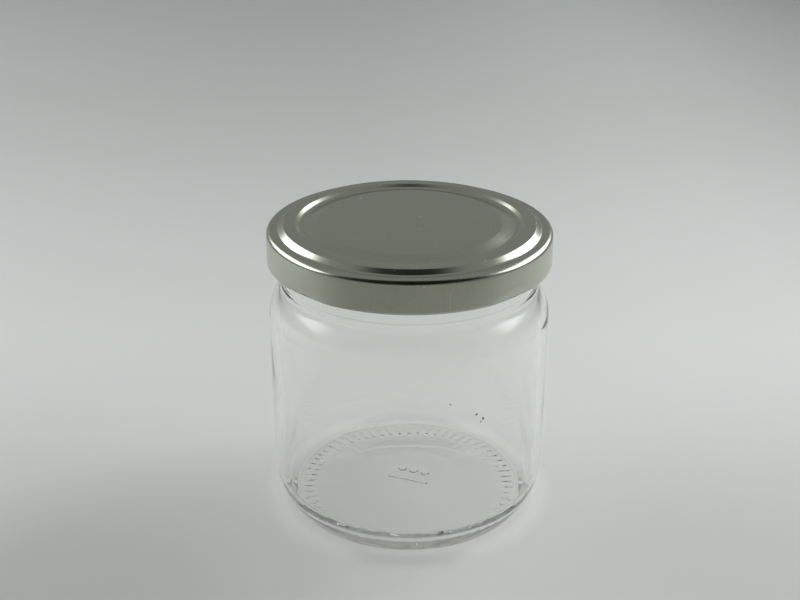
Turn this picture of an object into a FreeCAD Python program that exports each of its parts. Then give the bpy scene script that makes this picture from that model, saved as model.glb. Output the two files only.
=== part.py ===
import FreeCAD, Part
import math
import os
import Sketcher
from FreeCAD import Placement, Rotation, Vector

# A small round canning jar of clear glass with a four-lug twist lid of thin steel.
# Millimetres, +Z up, origin at the middle of the underside, Z the axis of the jar.

SIZES = {
    # glass jar: body
    "body_diameter": 68.4,         # outside of the straight wall
    "jar_height": 72.66,           # floor to sealing rim, without the lid
    "wall": 2.3,                   # glass of the body and the shoulder
    "heel_radius": 18.0,           # outer round between wall and underside
    "heel_angle": 50.0,            # slope of the underside where it leaves the ring
    "heel_land": 0.2,              # straight of the slope, next to the ring
    "inner_heel_radius": 6.5,      # round between wall and floor, inside
    "base_thickness": 3.1,         # underside of the ring to the floor inside
    # glass jar: underside
    "ring_width": 5.9,             # bearing ring, radially
    "ring_step": 0.35,             # rise from the ring to the edge of the push-up
    "ring_run": 3.0,               # the same slope, radially
    "push_up": 1.5,                # rise of the underside at its middle
    "knurl_count": 64,             # short radial ribs that stand on the table
    "knurl_height": 0.2,
    "knurl_width": 1.3,
    "knurl_in_gap": 0.3,           # ring's inner edge to the ribs
    "knurl_out_gap": 1.3,          # ribs to the ring's outer edge
    "mark_relief": 0.3,            # raised mould marks on the underside
    "mark_turn": -20.0,            # of the marks about the axis
    "mark_dot": 2.0,
    "mark_pitch": 3.2,
    "mark_dot_offset": 4.4,        # axis to the row of dots
    "mark_bar_length": 10.4,
    "mark_bar_width": 0.7,
    "mark_bar_offset": 0.2,        # axis to the middle of the bar
    # glass jar: shoulder and finish
    "shoulder_radius": 11.0,
    "shoulder_share": 0.98,        # of the slope at which the two rounds would meet
    "neck_radius": 4.0,            # hollow round above the shoulder
    "neck_step": 0.2,              # finish to neck, radially: the mould's ring line
    "neck_height": 2.2,            # foot of the finish to the shoulder's edge
    "finish_inset": 3.0,           # wall of the body to the finish, radially
    "finish_height": 12.0,         # rim to the foot of the finish
    "finish_wall": 2.3,            # glass of the finish
    "lip_radius": 1.0,
    "thread_depth": 1.3,           # how far the threads stand out of the finish
    "thread_height": 1.6,
    "thread_taper": 0.4,
    "thread_span": 58.0,           # degrees that each of the threads covers
    # twist lid
    "lid_clearance": 0.2,          # thread to the inside of the curl
    "curl_width": 1.6,
    "curl_height": 2.0,
    "curl_radius": 0.7,
    "sheet": 0.3,
    "lid_height": 9.56,
    "ledge_drop": 1.25,            # top of the lid down to its outer ledge
    "corner_radius": 1.3,
    "riser_foot_inset": 2.75,      # skirt to the foot of the riser
    "riser_top_inset": 4.1,        # skirt to the top of the riser
    "riser_radius": 0.7,           # rounds at both ends of the riser
    "rim_width": 2.8,              # flat ring over the sealing rim
    "rim_radius": 0.5,             # round of the ring's inner edge
    "groove_wall": 1.15,           # the ring's inner wall, radially
    "groove_depth": 1.15,
    "groove_slope": 4.25,          # sloped band that climbs to the middle panel
    "groove_radius": 1.8,          # round between the wall and the sloped band
    "liner": 0.8,                  # sealing compound in the channel
    "lug_count": 4,
    "lug_azimuth": 45.0,
    "lug_width": 9.0,
    "lug_clearance": 0.4,          # lug to the glass of the finish
    "lug_height": 1.5,
    "lug_rise": 0.4,               # curl's foot to the lug
    "lug_play": 0.15,              # lug to the thread above it
    "flat_depth": 0.75,            # how far the curl is pressed in at a lug
    "flat_height": 2.6,
}

doc = FreeCAD.newDocument("canning_jar")
sheet = doc.addObject("Spreadsheet::Sheet", "sizes")
for row, (alias, number) in enumerate(SIZES.items(), start=1):
    sheet.set(f"A{row}", alias)
    sheet.set(f"B{row}", str(number))
    sheet.setAlias(f"B{row}", alias)
doc.recompute()

# Levels and radii that several features share, as expressions on the sheet.
BODY_R = "(sizes.body_diameter / 2)"
INNER_R = f"({BODY_R} - sizes.wall)"
# the heel's round ends where its slope is the heel's angle, then comes a short land
HEEL_INSET = "(sizes.heel_radius * (1 - sin(sizes.heel_angle * 1 deg)) + sizes.heel_land)"
HEEL_LOW = f"(sizes.knurl_height + {HEEL_INSET} * tan(sizes.heel_angle * 1 deg))"
RING_OUT = f"({BODY_R} - {HEEL_INSET})"
RING_IN = f"({RING_OUT} - sizes.ring_width)"
FINISH_R = f"({BODY_R} - sizes.finish_inset)"
THREAD_R = f"({FINISH_R} + sizes.thread_depth)"
MOUTH_R = f"({FINISH_R} - sizes.finish_wall)"
NECK_R = f"({FINISH_R} - sizes.neck_step)"
FOOT = "(sizes.jar_height - sizes.finish_height)"
# the shoulder and the neck are two rounds that run into each other
SHOULDER_RUN = f"({BODY_R} - {NECK_R})"
ROUNDS = "(sizes.shoulder_radius + sizes.neck_radius)"
SHOULDER_ANGLE = f"(sizes.shoulder_share * acos(1 - {SHOULDER_RUN} / {ROUNDS}))"
SHOULDER_TOP = f"({FOOT} - sizes.neck_height)"
SHOULDER_LOW = f"({SHOULDER_TOP} - {SHOULDER_RUN} / tan({SHOULDER_ANGLE}))"
INNER_LOW = f"({SHOULDER_LOW} - sizes.wall * tan({SHOULDER_ANGLE} / 2))"
INNER_TOP = f"({INNER_LOW} + ({INNER_R} - {MOUTH_R}) / tan({SHOULDER_ANGLE}))"
CURL_IN = f"({THREAD_R} + sizes.lid_clearance)"
LID_R = f"({CURL_IN} + sizes.curl_width)"
SEAT = "(sizes.lid_height - sizes.sheet - sizes.liner)"
LID_FOOT = f"(sizes.jar_height - {SEAT})"
THREAD_LOW = f"({LID_FOOT} + sizes.lug_rise + sizes.lug_height + sizes.lug_play)"


def value(expression):
    """The number that an expression on the sheet gives."""
    return float(sheet.evalExpression(expression))


def new_body(label):
    body = doc.addObject("PartDesign::Body", label)
    body.Label = label
    return body


def origin_feature(body, role):
    return next(item for item in body.Origin.OriginFeatures if item.Role == role)


def new_sketch(body, name, plane, turn="0", lift="0"):
    """A sketch on one of the body's own planes, turned about Z and lifted along Z."""
    sketch = body.newObject("Sketcher::SketchObject", name)
    sketch.AttachmentSupport = [(origin_feature(body, plane), "")]
    sketch.MapMode = "FlatFace"
    axis = Vector(0, 0, 1) if plane == "XY_Plane" else Vector(0, 1, 0)
    sketch.AttachmentOffset = Placement(Vector(0, 0, 0), Rotation(axis, 0))
    sketch.setExpression("AttachmentOffset.Rotation.Angle", turn)
    rise = "z" if plane == "XY_Plane" else "y"
    sketch.setExpression(f"AttachmentOffset.Base.{rise}", lift)
    return sketch


def pin(sketch, edge, end, across, up):
    """Ties one end of an edge to expressions for its place in the sketch."""
    ways = (("DistanceX", across, -2), ("DistanceY", up, -1))
    for kind, expression, axis in ways:
        if expression == "0":
            sketch.addConstraint(Sketcher.Constraint("PointOnObject", edge, end, axis))
        else:
            place = Sketcher.Constraint(kind, -1, 1, edge, end, value(expression))
            number = sketch.addConstraint(place)
            sketch.setExpression(f"Constraints[{number}]", expression)


def outline(sketch, corners, domes=()):
    """A closed outline through the corners; domes are arcs centred on the axis."""
    spots = [Vector(value(across), value(up), 0) for across, up in corners]
    for number, start in enumerate(spots):
        end = spots[(number + 1) % len(spots)]
        if number in domes:
            rise = end.y - start.y
            radius = (start.x ** 2 + rise ** 2) / (2 * rise)
            middle = Vector(0, end.y - radius, 0)
            circle = Part.Circle(middle, Vector(0, 0, 1), radius)
            lean = math.atan2(start.y - middle.y, start.x)
            sketch.addGeometry(Part.ArcOfCircle(circle, lean, math.pi / 2))
        else:
            sketch.addGeometry(Part.LineSegment(start, end))
    for number, (across, up) in enumerate(corners):
        before = (number - 1) % len(corners)
        sketch.addConstraint(Sketcher.Constraint("Coincident", before, 2, number, 1))
        pin(sketch, number, 1, across, up)
        if number in domes:
            sketch.addConstraint(Sketcher.Constraint("PointOnObject", number, 3, -2))


def revolve(body, name, sketch, angle="360"):
    """Turns the sketch about the body's Z axis, to both sides of its plane."""
    solid = body.newObject("PartDesign::Revolution", name)
    solid.Profile = sketch
    solid.ReferenceAxis = (origin_feature(body, "Z_Axis"), [""])
    solid.Midplane = True
    solid.setExpression("Angle", angle)
    doc.recompute()
    return solid


def ring_edges(shape, corners):
    """The names of the circular edges that run through the given corners."""
    names = []
    for across, up in corners:
        radius, height = value(across), value(up)
        for number, edge in enumerate(shape.Edges, start=1):
            if edge.Degenerated or not isinstance(edge.Curve, Part.Circle):
                continue
            off_radius = abs(edge.Curve.Radius - radius)
            off_height = abs(edge.Curve.Center.z - height)
            if max(off_radius, off_height) < 1e-4:
                names.append(f"Edge{number}")
    if len(names) < len(corners):
        raise RuntimeError(f"only {len(names)} of {len(corners)} edges found")
    return names


def round_edges(body, name, base, corners, radius):
    fillet = body.newObject("PartDesign::Fillet", name)
    fillet.Base = (base, ring_edges(base.Shape, corners))
    fillet.setExpression("Radius", radius)
    doc.recompute()
    return fillet


def around(body, name, feature, count):
    """Repeats a feature around the Z axis."""
    pattern = body.newObject("PartDesign::PolarPattern", name)
    pattern.Originals = [feature]
    pattern.Axis = (origin_feature(body, "Z_Axis"), [""])
    pattern.Angle = 360
    pattern.setExpression("Occurrences", count)
    body.Tip = pattern
    doc.recompute()
    return pattern


def pad(body, name, sketch, length):
    solid = body.newObject("PartDesign::Pad", name)
    solid.Profile = sketch
    solid.setExpression("Length", length)
    doc.recompute()
    return solid


def rectangle(sketch, left, right, low, high):
    outline(sketch, [(left, low), (right, low), (right, high), (left, high)])


def make_glass():
    """The blown jar: walls, shoulder, finish with its threads, and underside."""
    body = new_body("glass_jar")
    heel = (BODY_R, HEEL_LOW)
    floor = (INNER_R, "sizes.base_thickness")
    shoulder = (BODY_R, SHOULDER_LOW)
    neck = (NECK_R, SHOULDER_TOP)
    rim = (FINISH_R, "sizes.jar_height")
    lip = (MOUTH_R, "sizes.jar_height")
    inner_neck = (MOUTH_R, INNER_TOP)
    inner_shoulder = (INNER_R, INNER_LOW)
    corners = [
        ("0", "sizes.push_up"),
        ("0", "sizes.base_thickness"),
        floor,
        inner_shoulder,
        inner_neck,
        lip,
        rim,
        (FINISH_R, FOOT),
        (NECK_R, FOOT),
        neck,
        shoulder,
        heel,
        (RING_OUT, "sizes.knurl_height"),
        (RING_IN, "sizes.knurl_height"),
        (f"{RING_IN} - sizes.ring_run", "sizes.knurl_height + sizes.ring_step"),
    ]
    section = new_sketch(body, "glass_section", "XZ_Plane")
    outline(section, corners, domes=(len(corners) - 1,))
    solid = revolve(body, "glass_turned", section)
    solid = round_edges(body, "heel", solid, [heel], "sizes.heel_radius")
    solid = round_edges(body, "floor_round", solid, [floor], "sizes.inner_heel_radius")
    solid = round_edges(body, "shoulder", solid, [shoulder], "sizes.shoulder_radius")
    inner_round = "sizes.shoulder_radius - sizes.wall"
    solid = round_edges(body, "inner_shoulder", solid, [inner_shoulder], inner_round)
    solid = round_edges(body, "neck", solid, [neck, inner_neck], "sizes.neck_radius")
    solid = round_edges(body, "lip", solid, [rim, lip], "sizes.lip_radius")

    thread_top = f"{THREAD_LOW} + sizes.thread_height"
    thread = new_sketch(body, "thread_section", "XZ_Plane", "sizes.lug_azimuth")
    outline(thread, [
        (f"{FINISH_R} - sizes.thread_taper", THREAD_LOW),
        (THREAD_R, THREAD_LOW),
        (THREAD_R, f"{thread_top} - sizes.thread_taper"),
        (f"{FINISH_R}", thread_top),
        (f"{FINISH_R} - sizes.thread_taper", thread_top),
    ])
    thread = revolve(body, "thread", thread, "sizes.thread_span")
    around(body, "threads", thread, "sizes.lug_count")

    knurl = new_sketch(body, "knurl_section", "XY_Plane")
    half_knurl = "sizes.knurl_width / 2"
    knurl_in = f"{RING_IN} + sizes.knurl_in_gap"
    knurl_out = f"{RING_OUT} - sizes.knurl_out_gap"
    rectangle(knurl, knurl_in, knurl_out, f"-{half_knurl}", half_knurl)
    knurl = pad(body, "knurl", knurl, "sizes.knurl_height * 2")
    around(body, "knurls", knurl, "sizes.knurl_count")

    mark_lift = "sizes.push_up - sizes.mark_relief"
    marks = new_sketch(body, "mark_section", "XY_Plane", "sizes.mark_turn", mark_lift)
    for step in (-1, 0, 1):
        spot = Vector(step * value("sizes.mark_pitch"), value("sizes.mark_dot_offset"), 0)
        dot = Part.Circle(spot, Vector(0, 0, 1), value("sizes.mark_dot / 2"))
        number = sketch_circle(marks, dot)
        across = f"{step} * sizes.mark_pitch" if step else "0"
        pin(marks, number, 3, across, "sizes.mark_dot_offset")
    half_bar = "sizes.mark_bar_length / 2"
    bar_low = "-sizes.mark_bar_offset - sizes.mark_bar_width / 2"
    bar_high = "-sizes.mark_bar_offset + sizes.mark_bar_width / 2"
    bar_corners = [
        (f"-{half_bar}", bar_low),
        (half_bar, bar_low),
        (half_bar, bar_high),
        (f"-{half_bar}", bar_high),
    ]
    closed_chain(marks, bar_corners)
    pad(body, "marks", marks, "sizes.mark_relief * 2")
    return body


def sketch_circle(sketch, circle):
    number = sketch.addGeometry(circle)
    row = sketch.addConstraint(Sketcher.Constraint("Diameter", number, circle.Radius * 2))
    sketch.setExpression(f"Constraints[{row}]", "sizes.mark_dot")
    return number


def closed_chain(sketch, corners):
    """Adds a closed outline of straight lines to a sketch that holds others."""
    first = sketch.GeometryCount
    spots = [Vector(value(across), value(up), 0) for across, up in corners]
    for number, start in enumerate(spots):
        sketch.addGeometry(Part.LineSegment(start, spots[(number + 1) % len(spots)]))
    for number, (across, up) in enumerate(corners):
        before = first + (number - 1) % len(corners)
        sketch.addConstraint(Sketcher.Constraint("Coincident", before, 2, first + number, 1))
        pin(sketch, first + number, 1, across, up)


def make_lid():
    """The pressed lid with its sealing compound, curl and lugs, foot at its own zero."""
    body = new_body("twist_lid")
    top = "sizes.lid_height"
    under = f"({top} - sizes.sheet)"
    ledge = f"({top} - sizes.ledge_drop)"
    foot_r = f"({LID_R} - sizes.riser_foot_inset)"
    riser_r = f"({LID_R} - sizes.riser_top_inset)"
    rim_in = f"({riser_r} - sizes.rim_width)"
    groove_out = f"({rim_in} - sizes.groove_wall)"
    panel_r = f"({groove_out} - sizes.groove_slope)"
    groove_z = f"({top} - sizes.groove_depth)"
    skirt_in = f"({LID_R} - sizes.sheet)"
    below_ledge = f"({ledge} - sizes.sheet)"
    below_groove = f"({groove_z} - sizes.sheet)"
    # where the flat of the compound meets the two slanted walls of its channel
    wall_share = f"(({SEAT} - {below_groove}) / sizes.groove_depth)"
    riser_share = f"(({SEAT} - {below_ledge}) / sizes.ledge_drop)"
    liner_in = f"({groove_out} + {wall_share} * sizes.groove_wall)"
    riser_run = "(sizes.riser_top_inset - sizes.riser_foot_inset)"
    liner_out = f"({foot_r} - {riser_share} * {riser_run})"

    riser = [(foot_r, ledge), (riser_r, top)]
    rim_edge = (rim_in, top)
    groove = (groove_out, groove_z)
    corner = (LID_R, ledge)
    curl = [(LID_R, "0"), (CURL_IN, "0"), (CURL_IN, "sizes.curl_height")]
    corners = [
        ("0", under),
        (panel_r, under),
        (groove_out, below_groove),
        (liner_in, SEAT),
        (liner_out, SEAT),
        (foot_r, below_ledge),
        (skirt_in, below_ledge),
        (skirt_in, "sizes.curl_height"),
        curl[2],
        curl[1],
        curl[0],
        corner,
        *riser,
        rim_edge,
        groove,
        (panel_r, top),
        ("0", top),
    ]
    section = new_sketch(body, "lid_section", "XZ_Plane")
    outline(section, corners)
    solid = revolve(body, "lid_turned", section)
    solid = round_edges(body, "corner", solid, [corner], "sizes.corner_radius")
    inside = "sizes.corner_radius - sizes.sheet"
    solid = round_edges(body, "corner_inside", solid, [(skirt_in, below_ledge)], inside)
    solid = round_edges(body, "curl", solid, curl, "sizes.curl_radius")
    solid = round_edges(body, "riser", solid, riser, "sizes.riser_radius")
    solid = round_edges(body, "rim_edge", solid, [rim_edge], "sizes.rim_radius")
    round_edges(body, "groove", solid, [groove], "sizes.groove_radius")

    # the curl is pressed flat where each lug is formed
    press = new_sketch(body, "press_section", "XZ_Plane", "sizes.lug_azimuth")
    outline(press, [
        (f"{LID_R} - sizes.flat_depth", "0"),
        (f"{LID_R} + sizes.curl_width", "0"),
        (f"{LID_R} + sizes.curl_width", "sizes.flat_height"),
        (LID_R, "sizes.flat_height"),
    ])
    flat = body.newObject("PartDesign::Pocket", "flat")
    flat.Profile = press
    flat.Midplane = True
    flat.setExpression("Length", LID_R)
    doc.recompute()
    around(body, "flats", flat, "sizes.lug_count")

    lug = new_sketch(body, "lug_section", "XY_Plane", "sizes.lug_azimuth", "sizes.lug_rise")
    half_lug = "sizes.lug_width / 2"
    lug_tip = f"({FINISH_R} + sizes.lug_clearance)"
    rectangle(lug, lug_tip, f"{CURL_IN} + sizes.curl_width / 4", f"-{half_lug}", half_lug)
    lug = pad(body, "lug", lug, "sizes.lug_height")
    around(body, "lugs", lug, "sizes.lug_count")

    body.setExpression("Placement.Base.z", LID_FOOT)
    doc.recompute()
    return body


def check(parts):
    """Stops if any feature failed, or if a part isn't one valid solid."""
    for item in doc.Objects:
        if {"Invalid", "Error"} & set(item.State):
            raise RuntimeError(f"{item.Name} failed: {item.State}")
    for part in parts:
        shape = part.Shape
        if shape.isNull() or not shape.isValid() or len(shape.Solids) != 1:
            raise RuntimeError(f"{part.Label} isn't one valid solid")


parts = [make_glass(), make_lid()]
doc.recompute()
check(parts)
os.makedirs("parts", exist_ok=True)
for part in parts:
    part.Shape.exportStep(f"parts/{part.Label}.step")
    print(part.Label, "volume", round(part.Shape.Volume, 1), "box", part.Shape.BoundBox)
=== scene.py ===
import math

import bmesh
import bpy
import numpy as np
from mathutils import Matrix, Vector


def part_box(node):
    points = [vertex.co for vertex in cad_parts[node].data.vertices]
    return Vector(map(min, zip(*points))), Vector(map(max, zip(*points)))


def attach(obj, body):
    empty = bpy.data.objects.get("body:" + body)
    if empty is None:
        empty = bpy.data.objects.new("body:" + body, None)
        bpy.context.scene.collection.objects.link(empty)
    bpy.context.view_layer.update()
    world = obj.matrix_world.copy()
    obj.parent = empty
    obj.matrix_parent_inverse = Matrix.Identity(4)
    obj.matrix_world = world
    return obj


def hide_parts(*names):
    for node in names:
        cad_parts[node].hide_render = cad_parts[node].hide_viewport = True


# An empty canning jar with a twist lid on a pale floor, between two soft lights.
# Lengths of the pieces are millimetres until a mesh is made, and those of the stage are metres. +Z is up.

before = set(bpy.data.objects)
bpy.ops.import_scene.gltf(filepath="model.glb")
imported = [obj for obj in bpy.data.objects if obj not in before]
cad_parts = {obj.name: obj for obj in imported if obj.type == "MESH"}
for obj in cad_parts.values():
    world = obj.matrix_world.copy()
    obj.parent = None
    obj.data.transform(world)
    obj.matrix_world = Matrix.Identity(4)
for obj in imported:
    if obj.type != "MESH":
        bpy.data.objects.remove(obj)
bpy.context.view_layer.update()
glass_low, glass_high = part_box("glass_jar")
lid_low, lid_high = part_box("twist_lid")

MM = 0.001
TURN = 384                    # steps around the axis, six for each of the bearing ribs
ARC_STEP = 5.0                # degrees between rows on a round, and more on a small one
SMALL_STEP = 11.0
SMALL_ROUND = 1.2

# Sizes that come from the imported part
BODY_R = (glass_high.x - glass_low.x) / 2 / MM
JAR_TOP = glass_high.z / MM
LID_R = (lid_high.x - lid_low.x) / 2 / MM
LID_FOOT = lid_low.z / MM
LID_TOP = lid_high.z / MM

# Glass: wall, shoulder and finish
WALL = 2.3
FINISH_R = BODY_R - 3.0
FINISH_FOOT = JAR_TOP - 12.0
FINISH_EDGE = 0.05            # how much the finish's foot slopes
FINISH_OUT_ROUND = 0.15
FINISH_IN_ROUND = 0.12
NECK_R = FINISH_R - 0.2
MOUTH_R = FINISH_R - 2.3
LIP_ROUND = 1.0
SHOULDER_ANGLE = math.radians(37.4)
SHOULDER_ROUND = 11.0
NECK_ROUND = 4.0
SHOULDER_TOP = FINISH_FOOT - 2.2

# Glass: heel, bearing ring and base
HEEL_ROUND = 17.5
HEEL_ANGLE = math.radians(50.0)
INNER_HEEL_ROUND = 6.5
FLOOR = 3.1
UNDERSIDE = FLOOR - 0.5       # rows lower than this near the axis are the underside's
RING_OUT = BODY_R - 4.41
RING_IN = RING_OUT - 5.9
RING_RUN = 3.0
RING_STEP = 0.22
RING_ROUND = 10.0
RING_EDGE = 0.6
PUSH_UP = 1.3
MIDDLE_R = 7.5
MIDDLE_DROP = 0.06
DOME_R = RING_IN * 0.6
DOME_DROP = 0.42
DOME_ROUND = 40
RIBS = 64
RIB_HEIGHT = 0.15
RIB_START, RIB_FULL_IN = RING_IN - 0.3, RING_IN + 1.2
RIB_FULL_OUT, RIB_END = RING_OUT - 2.3, RING_OUT - 0.9

# Glass: mould marks, three dots over a bar
MARK_TURN = math.radians(-20.0)
MARK_HEIGHT = 0.3
MARK_REACH = 8
DOT_GAP = 3.2
DOT_UP = 4.4
DOT_FOOT_R, DOT_TOP_R = 1.25, 0.75
BAR_HALF_LENGTH = 5.2
BAR_HALF_WIDTH = 0.35
BAR_DOWN = 0.2

# Glass: threads
LUGS = 4
LUG_AZIMUTH = math.radians(45.0)
THREAD_DEPTH = 1.2
THREAD_LOW = LID_FOOT + 2.05
THREAD_HIGH = THREAD_LOW + 1.6
THREAD_MARGIN = 0.2
THREAD_SPAN = math.radians(58.0)
THREAD_FADE = 0.09            # radians at each end

# Glass: unevenness
RIPPLE = 0.012
RIPPLE_TOP = 14.0
UNEVEN_LOW, UNEVEN_FULL_LOW = FLOOR + 3, FLOOR + 14
UNEVEN_HIGH, UNEVEN_FULL_HIGH = SHOULDER_TOP - 2, SHOULDER_TOP - 12

# Widest gap between rows of the glass: on the marks, ribs and threads, and elsewhere
MARK_ROWS, RIB_ROWS, THREAD_ROWS, PLAIN_ROWS = 0.27, 0.4, 0.16, 3.0

# Lid
SHEET = 0.22
LEDGE = LID_TOP - 1.25
GROOVE = LID_TOP - 1.15
RISER_FOOT = LID_R - 2.75
RISER_TOP = LID_R - 4.1
RIM_IN = RISER_TOP - 2.8
GROOVE_R = RIM_IN - 1.15
PANEL_R = GROOVE_R - 4.25
PANEL_ROUND = 1.5
SKIRT_ROUND = 1.3
FOLD_ROUND = 0.2              # where the sheet meets the sealing compound
CURL_IN = LID_R - 1.6
CURL_MIDDLE = LID_R - 0.8
CURL_HALF = 0.8
CURL_TOP = LID_FOOT + 2.0
SKIRT_FOOT = LID_FOOT + 3.0   # the skirt is plain above this
LACQUER_FOOT = LID_FOOT + 1.9
PRESS_DEPTH = 0.75
PRESS_TOP = 2.6
LUG_REACH = 1.0
LUG_TOP = 2.3
LUG_HALF, LUG_HALF_FLAT = 0.17, 0.12      # radians
CURL_ROWS, LID_ROWS = 0.45, 1.6


def smooth(low, high, x):
    """0 below low, 1 above high and a soft turn between. With low above high it turns the other way."""
    t = np.clip((np.asarray(x, float) - low) / (high - low), 0.0, 1.0)
    return t * t * (3.0 - 2.0 * t)


def rounded(corners):
    """A path through (r, z, round) corners, with each one rounded to its radius."""
    spots = [np.array(c[:2], float) for c in corners]
    path = [spots[0]]
    for number in range(1, len(corners) - 1):
        here, radius = spots[number], corners[number][2]
        back = spots[number - 1] - here
        ahead = spots[number + 1] - here
        back /= np.linalg.norm(back)
        ahead /= np.linalg.norm(ahead)
        half = math.acos(float(np.clip(back @ ahead, -1, 1))) / 2
        if radius <= 0 or math.pi / 2 - half < 1e-3:
            path.append(here)
            continue
        bisector = (back + ahead) / np.linalg.norm(back + ahead)
        middle = here + bisector * (radius / math.sin(half))
        start = here + back * (radius / math.tan(half)) - middle
        end = here + ahead * (radius / math.tan(half)) - middle
        sweep = math.atan2(start[0] * end[1] - start[1] * end[0], float(start @ end))
        finest = ARC_STEP if radius > SMALL_ROUND else SMALL_STEP
        steps = max(3, math.ceil(math.degrees(abs(sweep)) / finest))
        for step in range(steps + 1):
            turn = sweep * step / steps
            cosine, sine = math.cos(turn), math.sin(turn)
            path.append(middle + np.array((start[0] * cosine - start[1] * sine,
                                           start[0] * sine + start[1] * cosine)))
    path.append(spots[-1])
    return path


def filled(path, gap):
    """The path with rows added wherever two are further apart than gap(r, z)."""
    rows = [path[0]]
    for here in path[1:]:
        start = rows[-1]
        middle = (start + here) / 2
        count = max(1, math.ceil(np.linalg.norm(here - start) / gap(*middle)))
        for step in range(1, count + 1):
            rows.append(start + (here - start) * step / count)
    return np.array(rows)


def add_mesh(name, points, faces, soft=True):
    """A new object of these points (metres) and faces, shaded soft or flat."""
    mesh = bpy.data.meshes.new(name)
    mesh.from_pydata(points, [], faces)
    mesh.validate()
    mesh.polygons.foreach_set("use_smooth", [soft] * len(mesh.polygons))
    mesh.update()
    made = bpy.data.objects.new(name, mesh)
    bpy.context.scene.collection.objects.link(made)
    return made


def lathe(name, rows, shape):
    """A closed turned mesh. Its path starts and ends on the axis, and shape moves each ring."""
    angle = np.arange(TURN) * (2 * math.pi / TURN)
    inner = rows[1:-1]
    r = np.repeat(inner[:, 0:1], TURN, axis=1)
    z = np.repeat(inner[:, 1:2], TURN, axis=1)
    r, z = shape(r, z, np.broadcast_to(angle, r.shape))
    points = np.stack((r * np.cos(angle), r * np.sin(angle), z), axis=-1).reshape(-1, 3)
    first = np.array([[0, 0, rows[0, 1]]])
    last = np.array([[0, 0, rows[-1, 1]]])
    points = np.vstack((points, first, last)) * MM
    rings = len(inner)
    start, end = rings * TURN, rings * TURN + 1
    top = (rings - 1) * TURN
    steps = [(k, (k + 1) % TURN) for k in range(TURN)]
    faces = [(start, n, k) for k, n in steps]
    for low in range(0, top, TURN):
        high = low + TURN
        faces += [(low + k, low + n, high + n, high + k) for k, n in steps]
    faces += [(top + k, top + n, end) for k, n in steps]
    return add_mesh(name, points.tolist(), faces)


def off_lug(angle):
    """Angle from the nearest lug."""
    share = 2 * math.pi / LUGS
    return (angle - LUG_AZIMUTH + share / 2) % share - share / 2


# ---------------------------------------------------------------- glass

def glass_rows():
    """The glass's section, from the middle of the underside round to the middle of the floor inside."""
    run = BODY_R - NECK_R
    shoulder_low = SHOULDER_TOP - run / math.tan(SHOULDER_ANGLE)
    inner_r = BODY_R - WALL
    inner_low = shoulder_low - WALL * math.tan(SHOULDER_ANGLE / 2)
    inner_top = inner_low + (inner_r - MOUTH_R) / math.tan(SHOULDER_ANGLE)
    heel_low = RIB_HEIGHT + (BODY_R - RING_OUT) * math.tan(HEEL_ANGLE)
    corners = [
        (0, PUSH_UP, 0),
        (MIDDLE_R, PUSH_UP - MIDDLE_DROP, 0),
        (DOME_R, PUSH_UP - DOME_DROP, DOME_ROUND),
        (RING_IN - RING_RUN, RIB_HEIGHT + RING_STEP, RING_ROUND),
        (RING_IN, RIB_HEIGHT, RING_ROUND),
        (RING_OUT, RIB_HEIGHT, RING_EDGE),
        (BODY_R, heel_low, HEEL_ROUND),
        (BODY_R, shoulder_low, SHOULDER_ROUND),
        (NECK_R, SHOULDER_TOP, NECK_ROUND),
        (NECK_R, FINISH_FOOT, FINISH_IN_ROUND),
        (FINISH_R, FINISH_FOOT + FINISH_EDGE, FINISH_OUT_ROUND),
        (FINISH_R, THREAD_LOW - THREAD_MARGIN, 0),
        (FINISH_R, THREAD_HIGH + THREAD_MARGIN, 0),
        (FINISH_R, JAR_TOP, LIP_ROUND),
        (MOUTH_R, JAR_TOP, LIP_ROUND),
        (MOUTH_R, inner_top, NECK_ROUND),
        (inner_r, inner_low, SHOULDER_ROUND - WALL),
        (inner_r, FLOOR, INNER_HEEL_ROUND),
        (0, FLOOR, 0),
    ]

    def gap(r, z):
        if z < UNDERSIDE and r < MIDDLE_R:
            return MARK_ROWS
        if z < RIB_HEIGHT + 0.3 and RING_IN - 1 < r < RING_OUT + 1:
            return RIB_ROWS
        if THREAD_LOW - THREAD_MARGIN < z < THREAD_HIGH + THREAD_MARGIN and r > FINISH_R - 0.5:
            return THREAD_ROWS
        return PLAIN_ROWS

    return filled(rounded(corners), gap)


def mould_marks(r, angle):
    """1 on the marks and 0 off them."""
    turned = angle - MARK_TURN
    x, y = r * np.cos(turned), r * np.sin(turned)
    mark = np.zeros_like(r)
    for step in (-1, 0, 1):
        off = np.hypot(x - DOT_GAP * step, y - DOT_UP)
        mark = np.maximum(mark, smooth(DOT_FOOT_R, DOT_TOP_R, off))
    bar = np.maximum(np.abs(x) - BAR_HALF_LENGTH, np.abs(y + BAR_DOWN) - BAR_HALF_WIDTH)
    return np.maximum(mark, smooth(0.3, -0.15, bar))


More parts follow.
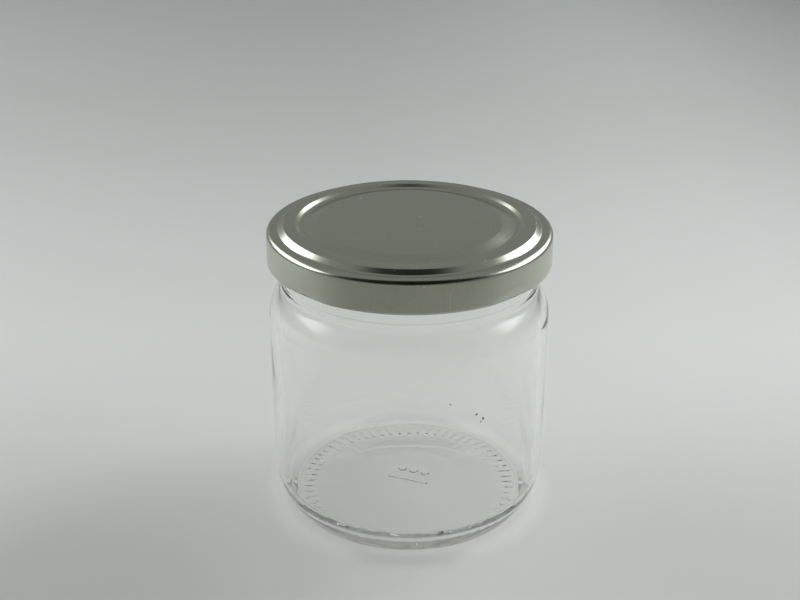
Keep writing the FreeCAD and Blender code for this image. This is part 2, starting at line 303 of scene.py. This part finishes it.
def glass_shape(r, z, angle):
    # short radial ribs that stand on the table
    rib = 0.5 + 0.5 * np.cos(angle * RIBS)
    across = smooth(RIB_START, RIB_FULL_IN, r) * smooth(RIB_END, RIB_FULL_OUT, r)
    under = z < RIB_HEIGHT + 0.4
    z = z - np.where(under, RIB_HEIGHT * rib * across, 0.0)
    # four level thread ribs
    outside = (r > FINISH_R - 0.05) & (z > FINISH_FOOT + 0.5)
    along = smooth(THREAD_SPAN / 2, THREAD_SPAN / 2 - THREAD_FADE, np.abs(off_lug(angle)))
    level = smooth(THREAD_LOW - 0.05, THREAD_LOW + 0.5, z)
    level = level * smooth(THREAD_HIGH, THREAD_HIGH - 0.8, z)
    r = r + np.where(outside, THREAD_DEPTH * along * level, 0.0)
    # mould marks under the middle
    marked = (z < UNDERSIDE) & (r < MARK_REACH)
    z = z - np.where(marked, MARK_HEIGHT * mould_marks(r, angle), 0.0)
    # fine ripples over the heel
    heel = (r > RING_OUT - 1.3 + 0.4 * z) & (z < RIPPLE_TOP)
    ripple = (np.sin(47 * angle + 1.9 * z) + np.sin(71 * angle - 2.6 * z + 1.0)
              + np.sin(29 * angle + 3.3 * z + 2.0) + np.sin(13 * angle + 4.1 * z))
    fade = smooth(0.4, 1.6, z) * smooth(12.0, 6.0, z)
    r = r + np.where(heel, RIPPLE * ripple * fade, 0.0)
    # the wall is a little uneven inside
    inside = (r < BODY_R - WALL + 0.4) & (z > UNEVEN_LOW) & (z < UNEVEN_HIGH)
    uneven = (0.03 * np.sin(3 * angle + 0.09 * z + 0.6) + 0.025 * np.sin(5 * angle - 0.16 * z)
              + 0.02 * np.sin(9 * angle + 0.31 * z + 2.0))
    fade = smooth(UNEVEN_LOW, UNEVEN_FULL_LOW, z) * smooth(UNEVEN_HIGH, UNEVEN_FULL_HIGH, z)
    r = r + np.where(inside, uneven * fade, 0.0)
    return r, z


# ---------------------------------------------------------------- lid

def lid_rows():
    """The lid's section, from the middle of the top round the curl to the middle of the inside."""
    # the flat of the sealing compound meets the riser's inside here
    liner_edge = (RISER_FOOT + (RISER_TOP - RISER_FOOT) * (JAR_TOP - LEDGE + SHEET) / (LID_TOP - LEDGE)
                  - 0.05)
    corners = [
        (0, LID_TOP, 0),
        (PANEL_R, LID_TOP, PANEL_ROUND),
        (GROOVE_R - 0.3, GROOVE, 1.8),
        (RIM_IN, LID_TOP, 0.5),
        (RISER_TOP, LID_TOP, 0.7),
        (RISER_FOOT, LEDGE, 0.9),
        (LID_R, LEDGE, SKIRT_ROUND),
        (LID_R, SKIRT_FOOT, 0),
        (LID_R, LID_FOOT, 0.78),
        (CURL_IN, LID_FOOT, 0.75),
        (CURL_IN, CURL_TOP, 0.7),
        (LID_R - SHEET, CURL_TOP + 0.05, 0.1),
        (LID_R - SHEET, LEDGE - SHEET, SKIRT_ROUND - SHEET),
        (RISER_FOOT + 0.1, LEDGE - SHEET, FOLD_ROUND),
        (liner_edge, JAR_TOP, FOLD_ROUND),
        (RIM_IN - 0.75, JAR_TOP, FOLD_ROUND),
        (GROOVE_R, GROOVE - SHEET, 0.4),
        (PANEL_R, LID_TOP - SHEET, PANEL_ROUND),
        (0, LID_TOP - SHEET, 0),
    ]

    def gap(r, z):
        return CURL_ROWS if z < LID_FOOT + 3.2 else LID_ROWS

    return filled(rounded(corners), gap)


def lid_shape(r, z, angle):
    off = off_lug(angle)
    rise = z - LID_FOOT
    # the curl is pressed flat over each lug
    chord = (LID_R - PRESS_DEPTH + PRESS_DEPTH * smooth(0.4, PRESS_TOP, rise)) / np.cos(off)
    outer = r > CURL_MIDDLE
    edge = np.clip(LID_R - r, 0.0, CURL_HALF)
    pressed = np.minimum(r, chord - edge * 0.6)
    r = np.where(outer & (rise < PRESS_TOP), pressed, r)
    # the curl runs inwards as a lug
    lug = smooth(LUG_HALF, LUG_HALF_FLAT, np.abs(off))
    inner = (r <= CURL_MIDDLE) & (r > FINISH_R) & (rise < LUG_TOP)
    share = np.clip((CURL_MIDDLE - r) / CURL_HALF, 0.0, 1.0)
    r = np.where(inner, r - LUG_REACH * lug * smooth(0.0, 1.0, share), r)
    return r, z


# ---------------------------------------------------------------- nodes

def material(name):
    mat = bpy.data.materials.new(name)
    mat.use_nodes = True
    tree = mat.node_tree
    return mat, tree, tree.nodes["Principled BSDF"]


def node(tree, kind, **settings):
    made = tree.nodes.new(kind)
    for key, setting in settings.items():
        if key in made.inputs:
            made.inputs[key].default_value = setting
        else:
            setattr(made, key, setting)
    return made


def feed(tree, given, socket):
    """Links an output to the socket, or sets a plain value there."""
    if isinstance(given, bpy.types.NodeSocket):
        tree.links.new(given, socket)
    else:
        socket.default_value = given


def calculate(tree, operation, *given):
    made = node(tree, "ShaderNodeMath", operation=operation)
    for number, value in enumerate(given):
        feed(tree, value, made.inputs[number])
    return made.outputs[0]


def mix(tree, factor, first, second, blend="MIX"):
    made = node(tree, "ShaderNodeMix", data_type="RGBA", blend_type=blend)
    feed(tree, factor, made.inputs["Factor"])
    feed(tree, first, made.inputs["A"])
    feed(tree, second, made.inputs["B"])
    return made.outputs["Result"]


def spread(tree, source, low, high, kind="LINEAR"):
    """0 at low and 1 at high."""
    made = node(tree, "ShaderNodeMapRange", interpolation_type=kind)
    made.inputs["From Min"].default_value = low
    made.inputs["From Max"].default_value = high
    tree.links.new(source, made.inputs["Value"])
    return made.outputs["Result"]


def axes(tree, place):
    """The X, Y and Z of a place, as outputs."""
    split = node(tree, "ShaderNodeSeparateXYZ")
    tree.links.new(place, split.inputs["Vector"])
    return split.outputs


def noise(tree, scale, detail=2.0, stretch=(1, 1, 1)):
    """Noise in object space, finer along an axis with a larger stretch."""
    place = node(tree, "ShaderNodeTexCoord")
    mapping = node(tree, "ShaderNodeMapping")
    mapping.inputs["Scale"].default_value = stretch
    grain = node(tree, "ShaderNodeTexNoise", Scale=scale, Detail=detail)
    tree.links.new(place.outputs["Object"], mapping.inputs["Vector"])
    tree.links.new(mapping.outputs["Vector"], grain.inputs["Vector"])
    return grain.outputs["Fac"]


def ramp(tree, source, stops):
    """Colours at (place, colour) stops."""
    made = node(tree, "ShaderNodeValToRGB")
    tree.links.new(source, made.inputs["Fac"])
    elements = made.color_ramp.elements
    while len(elements) < len(stops):
        elements.new(0.5)
    for element, (place, colour) in zip(elements, stops):
        element.position = place
        element.color = (*colour, 1.0)
    return made.outputs["Color"]


def grey(tree, source, stops):
    """Greys at (place, level) stops."""
    return ramp(tree, source, [(place, (level,) * 3) for place, level in stops])


# ---------------------------------------------------------------- materials

def glass_material():
    mat, tree, shader = material("clear_glass")
    shader.inputs["Transmission Weight"].default_value = 1.0
    shader.inputs["IOR"].default_value = 1.51
    tint = ramp(tree, noise(tree, 30.0), [(0.3, (0.984, 0.994, 0.984)), (0.7, (0.99, 0.997, 0.99))])
    tree.links.new(tint, shader.inputs["Base Color"])
    shader.inputs["Roughness"].default_value = 0.0
    # light from the lamps goes through the glass unbent, so that it casts only a faint shadow
    clear = node(tree, "ShaderNodeBsdfTransparent", Color=(0.945, 0.955, 0.945, 1.0))
    path = node(tree, "ShaderNodeLightPath")
    choice = node(tree, "ShaderNodeMixShader")
    out = tree.nodes["Material Output"]
    tree.links.new(path.outputs["Is Shadow Ray"], choice.inputs["Fac"])
    tree.links.new(shader.outputs["BSDF"], choice.inputs[1])
    tree.links.new(clear.outputs["BSDF"], choice.inputs[2])
    tree.links.new(choice.outputs["Shader"], out.inputs["Surface"])
    return mat


def metal_material():
    mat, tree, shader = material("lid_metal")
    shader.inputs["Metallic"].default_value = 1.0
    tint = ramp(tree, noise(tree, 900.0, 3.0, (1, 6, 1)),
                [(0.35, (0.485, 0.505, 0.43)), (0.65, (0.515, 0.535, 0.46))])
    rough = grey(tree, noise(tree, 120.0, 3.0), [(0.3, 0.18), (0.7, 0.23)])
    # pale specks of dust, and a few fine scratches across the panel
    specks = grey(tree, noise(tree, 520.0, 1.0), [(0.73, 0.0), (0.82, 0.7)])
    scratches = grey(tree, noise(tree, 70.0, 1.0, (16, 1, 1)), [(0.72, 0.0), (0.82, 0.3)])
    worn = mix(tree, 1.0, specks, scratches, "LIGHTEN")
    for plain, marked, socket in ((tint, (0.68, 0.70, 0.64, 1.0), "Base Color"),
                                  (rough, (0.42, 0.42, 0.42, 1.0), "Roughness")):
        tree.links.new(mix(tree, worn, plain, marked), shader.inputs[socket])
    return mat


def lacquer_material():
    mat, tree, shader = material("lid_lacquer")
    tint = ramp(tree, noise(tree, 60.0), [(0.3, (0.66, 0.65, 0.59)), (0.7, (0.7, 0.69, 0.63))])
    tree.links.new(tint, shader.inputs["Base Color"])
    shader.inputs["Roughness"].default_value = 0.4
    return mat


def dust_material():
    mat, tree, shader = material("dust")
    tint = ramp(tree, noise(tree, 3000.0), [(0.3, (0.09, 0.085, 0.07)), (0.7, (0.17, 0.165, 0.14))])
    tree.links.new(tint, shader.inputs["Base Color"])
    shader.inputs["Roughness"].default_value = 0.9
    return mat


def floor_material():
    """A pale floor, lightest beside the jar. The shade and light round the jar are painted in its colour."""
    mat, tree, shader = material("floor")
    place = node(tree, "ShaderNodeTexCoord").outputs["Object"]
    split = axes(tree, place)
    # painted light and shade along Y: painted shade in front of the jar and far behind it, painted light
    # beside it
    fade = ramp(tree, spread(tree, split["Y"], -0.4, 0.6), [
        (0.0, (0.84, 0.85, 0.83)), (0.10, (0.58, 0.58, 0.54)), (0.26, (0.56, 0.56, 0.52)),
        (0.35, (0.82, 0.825, 0.825)), (0.43, (0.86, 0.875, 0.87)), (0.49, (0.86, 0.885, 0.87)),
        (0.57, (0.76, 0.79, 0.78)), (0.70, (0.61, 0.64, 0.63)), (0.79, (0.55, 0.58, 0.57)),
        (0.91, (0.515, 0.545, 0.54)), (1.0, (0.505, 0.535, 0.535))])
    # painted light and shade across X: lightest just right of the jar, a little darker on the left and much
    # darker far to the right
    painted_shade_across_x = grey(tree, spread(tree, split["X"], -0.3, 0.3), [
        (0.0, 0.96), (0.3, 0.93), (0.45, 0.925), (0.65, 1.0),
        (0.72, 0.99), (0.79, 0.92), (0.85, 0.82), (1.0, 0.6)])
    cloud = grey(tree, noise(tree, 2.0), [(0.3, 0.98), (0.7, 1.0)])
    # a painted shadow of the jar: a greyer patch in front of it on the left
    mapping = node(tree, "ShaderNodeMapping", vector_type="TEXTURE")
    mapping.inputs["Location"].default_value = (-0.062, -0.045, 0)
    mapping.inputs["Rotation"].default_value = (0, 0, math.radians(41))
    mapping.inputs["Scale"].default_value = (0.085, 0.06, 1)
    tree.links.new(place, mapping.inputs["Vector"])
    blob = node(tree, "ShaderNodeTexGradient", gradient_type="SPHERICAL")
    tree.links.new(mapping.outputs["Vector"], blob.inputs["Vector"])
    painted_jar_shadow = grey(tree, blob.outputs["Fac"], [(0.0, 1.0), (0.45, 0.87), (1.0, 0.84)])
    # painted contact shadow and painted caustic light round the heel: a band, darkest in front and behind
    # and lightest at the sides
    aside = calculate(tree, "ABSOLUTE", split["X"])
    turned = grey(tree, spread(tree, aside, 0.0, 0.034), [(0.0, 0.80), (0.3, 0.83), (0.5, 0.98), (1.0, 1.0)])
    reach = node(tree, "ShaderNodeVectorMath", operation="LENGTH")
    tree.links.new(place, reach.inputs[0])
    heel_shade_light_band = grey(tree, spread(tree, reach.outputs["Value"], 0.0, 0.05), [
        (0.62, 0.0), (0.655, 1.0), (0.69, 1.0), (0.76, 0.0)])
    ring = mix(tree, heel_shade_light_band, (0.91, 0.91, 0.91, 1.0), turned)
    colour = fade
    for layer in (painted_shade_across_x, cloud, painted_jar_shadow, ring):
        colour = mix(tree, 1.0, colour, layer, "MULTIPLY")
    tree.links.new(colour, shader.inputs["Base Color"])
    shader.inputs["Roughness"].default_value = 0.6
    shader.inputs["Specular IOR Level"].default_value = 0.2
    return mat


# ---------------------------------------------------------------- pieces

glass = lathe("glass_body", glass_rows(), glass_shape)
glass.data.materials.append(glass_material())
glass.visible_diffuse = False
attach(glass, "root")
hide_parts("glass_jar")

rows = lid_rows()
lid = lathe("pressed_lid", rows, lid_shape)
lid.data.materials.append(metal_material())
lid.data.materials.append(lacquer_material())
# the lacquer begins where the curl meets the inside of the skirt
foot = int(np.argmin(rows[:, 1]))
inside = foot + int(np.argmax(rows[foot:, 1] > LACQUER_FOOT))
for face in lid.data.polygons:
    face.material_index = int(face.index >= inside * TURN)
lid.data.flip_normals()
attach(lid, "root")
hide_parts("twist_lid")

# Grains of dust on the outside of the glass: azimuth in degrees, height and length. The azimuths and
# heights were made by another program, from the specks in the photograph, and then rounded.
GRAINS = [
    (-63, 38.0, 0.75),
    (-60, 36.5, 0.8),
    (-61, 35.8, 0.55),
    (-74, 41.8, 0.5),
    (-163, 37.5, 0.55),
]
GRAIN_OFF = 0.04              # the middle of a grain is this far off the glass
GRAIN_DEPTH = 0.16            # of its length
GRAIN_WIDTH = 0.5


def grain_mesh(number, azimuth, height, length):
    """The points and faces of one lumpy grain."""
    turn = math.radians(azimuth)
    outward = Vector((math.cos(turn), math.sin(turn), 0.0))
    sideways = Vector((-math.sin(turn), math.cos(turn), 0.0))
    lean_way = math.radians(35 + 50 * number)
    long_way = math.cos(lean_way) * sideways + math.sin(lean_way) * Vector((0, 0, 1))
    cross_way = outward.cross(long_way)
    grain = bmesh.new()
    bmesh.ops.create_icosphere(grain, subdivisions=2, radius=0.5)
    spots = []
    for corner in grain.verts:
        x, y, z = corner.co
        lump = 1.0 + 0.25 * math.sin(9 * x + 2 * number) * math.cos(7 * y + 5 * z)
        spot = (outward * (BODY_R + GRAIN_OFF + GRAIN_DEPTH * z * length * lump)
                + long_way * (x * length * lump) + cross_way * (y * GRAIN_WIDTH * length * lump))
        spots.append((spot + Vector((0, 0, height))) * MM)
    turns = [[corner.index for corner in face.verts] for face in grain.faces]
    grain.free()
    return spots, turns


points, faces = [], []
for number, sizes in enumerate(GRAINS):
    spots, turns = grain_mesh(number, *sizes)
    faces += [[len(points) + index for index in face] for face in turns]
    points += spots
dust = add_mesh("dust_grains", points, faces)
dust.data.materials.append(dust_material())
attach(dust, "root")

# ---------------------------------------------------------------- stage

FLOOR_HALF = 6.0
floor = add_mesh("floor", [(-FLOOR_HALF, -FLOOR_HALF, 0), (FLOOR_HALF, -FLOOR_HALF, 0),
                           (FLOOR_HALF, FLOOR_HALF, 0), (-FLOOR_HALF, FLOOR_HALF, 0)],
                 [(0, 1, 2, 3)], soft=False)
floor.data.materials.append(floor_material())

LAMP_DISTANCE = 0.9
LAMP_AIM = Vector((0, 0, 0.05))
SEEN_THROUGH = 0.17            # how much of a lamp shows through the glass


def lamp(name, azimuth, elevation, width, height, power):
    """A light aimed at the jar. Azimuth 0 is behind the jar, and grows to the right."""
    turn, lift = math.radians(azimuth), math.radians(elevation)
    way = Vector((math.sin(turn) * math.cos(lift), math.cos(turn) * math.cos(lift), math.sin(lift)))
    for suffix, share in (("_main", 1 - SEEN_THROUGH), ("_through", SEEN_THROUGH)):
        light = bpy.data.lights.new(name + suffix, "AREA")
        light.shape = "RECTANGLE"
        light.size = width
        light.size_y = height
        light.energy = power * share
        fade_out(light)
        made = bpy.data.objects.new(name + suffix, light)
        made.location = LAMP_AIM + way * LAMP_DISTANCE
        made.rotation_euler = (-way).to_track_quat("-Z", "Y").to_euler()
        made.visible_transmission = suffix == "_through"
        bpy.context.scene.collection.objects.link(made)


def fade_out(light):
    """Lets the light fall off from its middle to its edges."""
    light.use_nodes = True
    tree = light.node_tree
    split = axes(tree, node(tree, "ShaderNodeNewGeometry").outputs["Parametric"])
    falls = []
    for axis in "XY":
        off = calculate(tree, "ABSOLUTE", calculate(tree, "SUBTRACT", split[axis], 0.5))
        falls.append(spread(tree, off, 0.5, 0.2, "SMOOTHSTEP"))
    emission = next(n for n in tree.nodes if n.type == "EMISSION")
    tree.links.new(calculate(tree, "MULTIPLY", *falls), emission.inputs["Strength"])


lamp("light_right", azimuth=64, elevation=29, width=1.45, height=0.54, power=14.0)
lamp("light_left", azimuth=-70, elevation=30, width=1.4, height=0.50, power=11.2)


def light_room():
    """Grey all round, and nearly black high up in front."""
    world = bpy.data.worlds.new("room")
    bpy.context.scene.world = world
    world.use_nodes = True
    tree = world.node_tree
    split = axes(tree, node(tree, "ShaderNodeTexCoord").outputs["Generated"])
    aside = calculate(tree, "ABSOLUTE", split["X"])
    lean = calculate(tree, "MULTIPLY_ADD", aside, 0.5, split["Y"])
    front = spread(tree, lean, 0.15, -0.05, "SMOOTHSTEP")
    high = spread(tree, split["Z"], 0.05, 0.3, "SMOOTHSTEP")
    both = calculate(tree, "MULTIPLY", front, high)
    room = ramp(tree, both, [(0.0, (0.27, 0.28, 0.265)), (1.0, (0.01, 0.011, 0.009))])
    tree.links.new(room, tree.nodes["Background"].inputs["Color"])
    tree.nodes["Background"].inputs["Strength"].default_value = 1.0


light_room()

# ---------------------------------------------------------------- camera

CAMERA_BACK = 280.61
CAMERA_UP = 113.42 + LID_FOOT
PITCH = 0.4183                # radians, down
PAN = -0.0080
ROLL = -0.0034
FOCAL = 56.25
SENSOR = 36.0

forward = Vector((math.sin(PAN) * math.cos(PITCH), math.cos(PAN) * math.cos(PITCH), -math.sin(PITCH)))
level = forward.cross(Vector((0, 0, 1))).normalized()
down = forward.cross(level)
right = math.cos(ROLL) * level + math.sin(ROLL) * down
below = -math.sin(ROLL) * level + math.cos(ROLL) * down
lens = bpy.data.cameras.new("camera")
lens.sensor_width = SENSOR
lens.lens = FOCAL
lens.clip_start = 0.01
camera = bpy.data.objects.new("camera", lens)
camera.matrix_world = Matrix((
    (right.x, -below.x, -forward.x, 0.0),
    (right.y, -below.y, -forward.y, -CAMERA_BACK * MM),
    (right.z, -below.z, -forward.z, CAMERA_UP * MM),
    (0.0, 0.0, 0.0, 1.0),
))
bpy.context.scene.collection.objects.link(camera)
bpy.context.scene.camera = camera
scene = bpy.context.scene
scene.view_settings.view_transform = "Standard"
# enough bounces for the light that stays inside the glass
scene.cycles.max_bounces = 24
scene.cycles.glossy_bounces = 16
scene.cycles.transmission_bounces = 24
scene.cycles.transparent_max_bounces = 16
